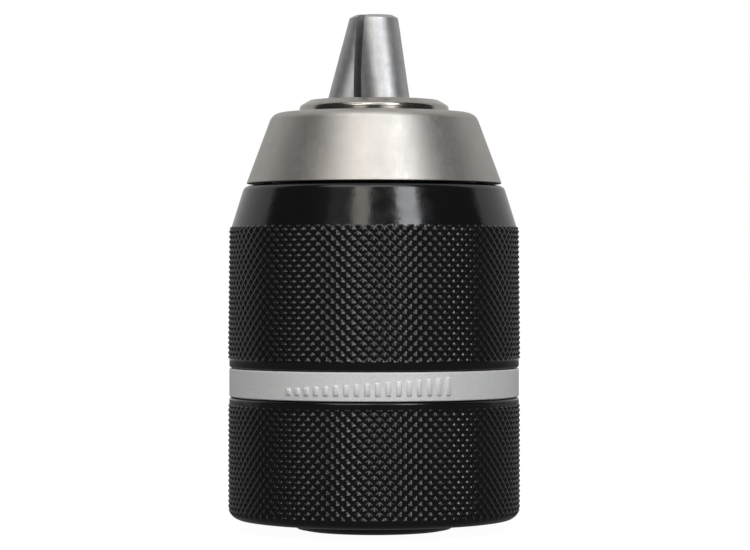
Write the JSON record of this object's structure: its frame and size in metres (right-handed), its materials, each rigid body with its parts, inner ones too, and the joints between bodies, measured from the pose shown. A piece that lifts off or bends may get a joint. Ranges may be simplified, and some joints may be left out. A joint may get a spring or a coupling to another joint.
{
  "type": "drill chuck",
  "caption": "Keyless drill chuck, nose up: ground jaws, satin nose cone, black knurled front and rear sleeves, a light marking band between them, and a threaded spindle socket at the rear.",
  "frame": {"origin": "centre of the body's rear face, where the spindle's shoulder seats", "axes": "+Z along the chuck's axis, from the spindle socket to the jaw tips; +X to the viewer's right when the chuck is seen along +Y"},
  "size_m": [0.043, 0.043, 0.0756],
  "materials": {
    "blackened_steel": "turned and oil-blackened, with a polished nose",
    "ground_steel": "ground and lightly oiled",
    "nut_steel": "hardened, as turned",
    "bearing_steel": "ground",
    "ball_steel": "polished",
    "cage_brass": "pressed brass",
    "spring_steel": "phosphated",
    "black_gloss_coating": "gloss black coating over steel, diamond knurled",
    "liner_nylon": "moulded, glass-filled",
    "satin_nickel": "bead-blasted satin nickel plate",
    "blasted_aluminium": "fine blasted"
  },
  "bodies": {
    "chuck_body": {"chuck_body": "blackened_steel", "rear_sleeve": "black_gloss_coating", "marking_ring": "blasted_aluminium", "nose_cone": "satin_nickel", "sleeve_retaining_ring": "spring_steel", "thrust_washer": "bearing_steel"},
    "front_sleeve": {"front_sleeve": "black_gloss_coating", "front_sleeve_liner": "liner_nylon", "nut_shell": "nut_steel", "nut_half_a": "nut_steel", "nut_half_b": "nut_steel"},
    "ball_bearing": {"bearing_cage": "cage_brass", "bearing_ball_01": "ball_steel", "bearing_ball_02": "ball_steel", "bearing_ball_03": "ball_steel", "bearing_ball_04": "ball_steel", "bearing_ball_05": "ball_steel", "bearing_ball_06": "ball_steel", "bearing_ball_07": "ball_steel", "bearing_ball_08": "ball_steel", "bearing_ball_09": "ball_steel", "bearing_ball_10": "ball_steel", "bearing_ball_11": "ball_steel", "bearing_ball_12": "ball_steel", "bearing_ball_13": "ball_steel", "bearing_ball_14": "ball_steel", "bearing_ball_15": "ball_steel", "bearing_ball_16": "ball_steel"},
    "jaw_1": {"jaw_1": "ground_steel"},
    "jaw_2": {"jaw_2": "ground_steel"},
    "jaw_3": {"jaw_3": "ground_steel"}
  },
  "joints": [
    {"name": "sleeve_turn", "type": "hinge", "parent": "chuck_body", "child": "front_sleeve", "pos_m": [0, 0, 0.034], "axis": [0, 0, 1], "range_deg": [0, 4440]},
    {"name": "bearing_turn", "type": "hinge", "parent": "chuck_body", "child": "ball_bearing", "pos_m": [0, 0, 0.03295], "axis": [0, 0, 1], "range_deg": [0, 2220]},
    {"name": "jaw_1_slide", "type": "slide", "parent": "chuck_body", "child": "jaw_1", "axis": [0.1155, -0.2316, -0.9659], "range_m": [0, 0.02221]},
    {"name": "jaw_2_slide", "type": "slide", "parent": "chuck_body", "child": "jaw_2", "axis": [0.1429, 0.2158, -0.9659], "range_m": [0, 0.02221]},
    {"name": "jaw_3_slide", "type": "slide", "parent": "chuck_body", "child": "jaw_3", "axis": [-0.2583, 0.0158, -0.9659], "range_m": [0, 0.02221]}
  ],
  "couplings": [
    {"joint": "bearing_turn", "follows": "sleeve_turn", "ratio": 0.5},
    {"joint": "jaw_1_slide", "follows": "sleeve_turn", "m_per_rad": 0.00028648},
    {"joint": "jaw_2_slide", "follows": "sleeve_turn", "m_per_rad": 0.00028648},
    {"joint": "jaw_3_slide", "follows": "sleeve_turn", "m_per_rad": 0.00028648}
  ]
}
